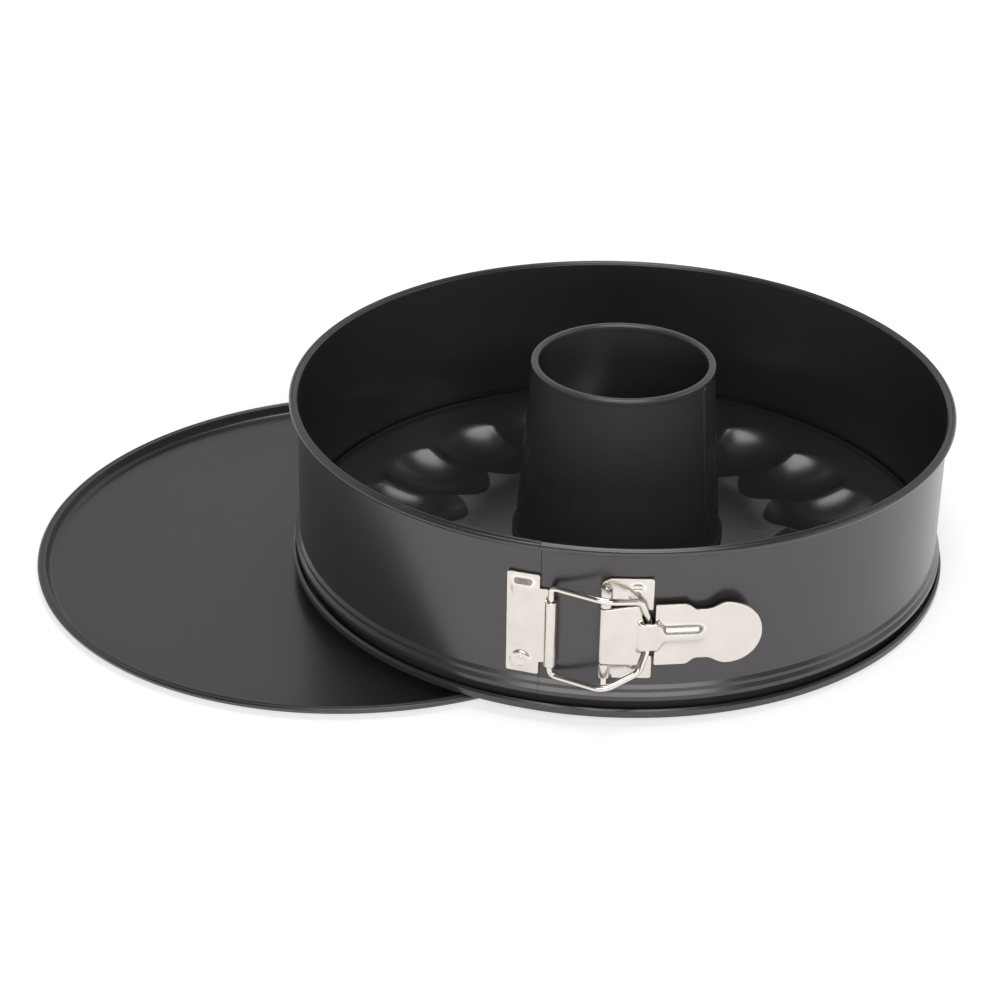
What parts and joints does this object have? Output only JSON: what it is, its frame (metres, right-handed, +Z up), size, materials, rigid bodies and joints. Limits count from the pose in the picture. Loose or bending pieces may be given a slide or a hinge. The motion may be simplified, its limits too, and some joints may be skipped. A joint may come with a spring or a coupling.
{
  "type": "springform tube pan",
  "caption": "Round springform cake pan with a tapered centre tube in a petal-embossed base, a lever latch with wire bail on its ring, and a spare flat base beside it.",
  "frame": {"origin": "under the middle of the set: middle of its bounding box in X and Y, on the table", "axes": "+Z up from the table, +X to the right as in the picture (from the flat base towards the pan), latch at the front facing -Y"},
  "size_m": [0.3746, 0.2798, 0.0879],
  "materials": {
    "nonstick_coating": "satin dark grey non-stick coating on sheet steel",
    "nickel_plating": "semi-bright nickel plating on steel"
  },
  "bodies": {
    "tube_base": {"tube_base_plate": "nonstick_coating", "centre_tube": "nonstick_coating"},
    "ring_right": {"ring_band_right": "nonstick_coating", "lever_bracket": "nickel_plating", "bracket_rivet_upper": "nickel_plating", "bracket_rivet_lower": "nickel_plating", "hinge_pin": "nickel_plating"},
    "ring_left": {"ring_band_left": "nonstick_coating", "keeper_plate": "nickel_plating", "keeper_rivet_upper": "nickel_plating", "keeper_rivet_lower": "nickel_plating"},
    "lever": {"lever": "nickel_plating"},
    "bail": {"wire_bail": "nickel_plating"},
    "flat_base": {"flat_base_plate": "nonstick_coating"}
  },
  "joints": [
    {"name": "ring_lift", "type": "slide", "parent": "tube_base", "child": "ring_right", "axis": [0.0243, 0, 0.9997], "range_m": [0, 0.09]},
    {"name": "lever_flip", "type": "hinge", "parent": "ring_right", "child": "lever", "pos_m": [0.04514, -0.13195, 0.03991], "axis": [-0.0243, 0, -0.9997], "range_deg": [0, 160]},
    {"name": "ring_spring", "type": "hinge", "parent": "ring_right", "child": "ring_left", "pos_m": [0.0531, 0.13172, 0.04121], "axis": [-0.0243, 0, -0.9997], "range_deg": [0, 2]},
    {"name": "bail_swing", "type": "hinge", "parent": "ring_left", "child": "bail", "pos_m": [0.02534, -0.12902, 0.04039], "axis": [-0.0243, 0, -0.9997], "range_deg": [0, 37]},
    {"name": "flat_slide", "type": "slide", "parent": "tube_base", "child": "flat_base", "axis": [-1, 0, 0], "range_m": [0, 0.17]}
  ],
  "couplings": [
    {"joint": "ring_spring", "follows": "lever_flip", "ratio": 0.012499},
    {"joint": "bail_swing", "follows": "lever_flip", "ratio": 0.23124}
  ]
}
